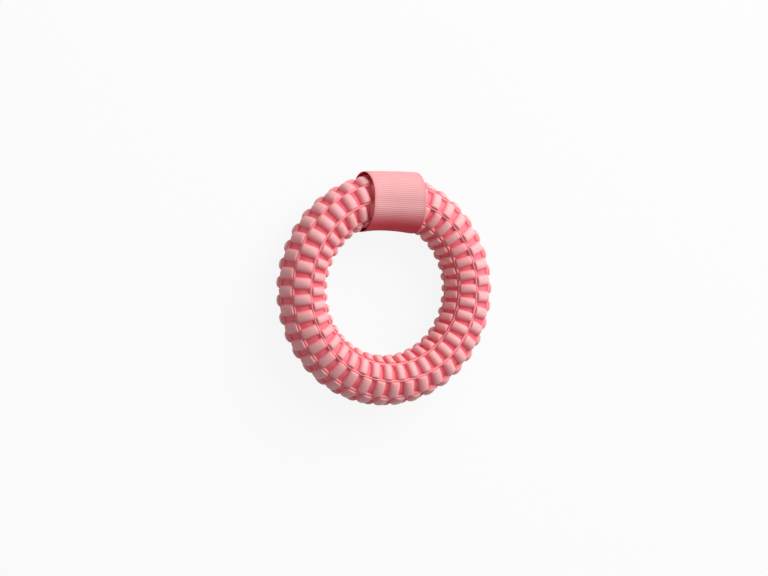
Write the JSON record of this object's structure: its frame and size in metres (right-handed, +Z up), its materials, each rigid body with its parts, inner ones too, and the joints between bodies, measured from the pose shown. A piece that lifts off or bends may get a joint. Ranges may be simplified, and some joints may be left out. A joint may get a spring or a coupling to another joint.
{
  "type": "dog chew ring",
  "caption": "Hollow rubber chew ring with rows of staggered half-round bars between thin ridges, and a loose woven ribbon loop round its tube.",
  "frame": {"origin": "centre of the ring's hole, on the plane that the toy lies on", "axes": "+Z up along the ring's axis, +Y towards the ribbon loop, +X along the tube where the ribbon sits"},
  "size_m": [0.1524, 0.1534, 0.0354],
  "materials": {
    "rubber": "satin moulded rubber, rose pink",
    "ribbon": "grosgrain weave, cross ribs, pale rose",
    "thread": "spun sewing thread, pale rose"
  },
  "bodies": {
    "ring": {"front_shell": "rubber", "back_shell": "rubber"},
    "band": {"ribbon_band": "ribbon", "seam_thread": "thread"}
  },
  "joints": [
    {"name": "band_turn", "type": "hinge", "parent": "ring", "child": "band", "pos_m": [0, 0, 0.0177], "axis": [0, 0, 1], "continuous": true}
  ]
}
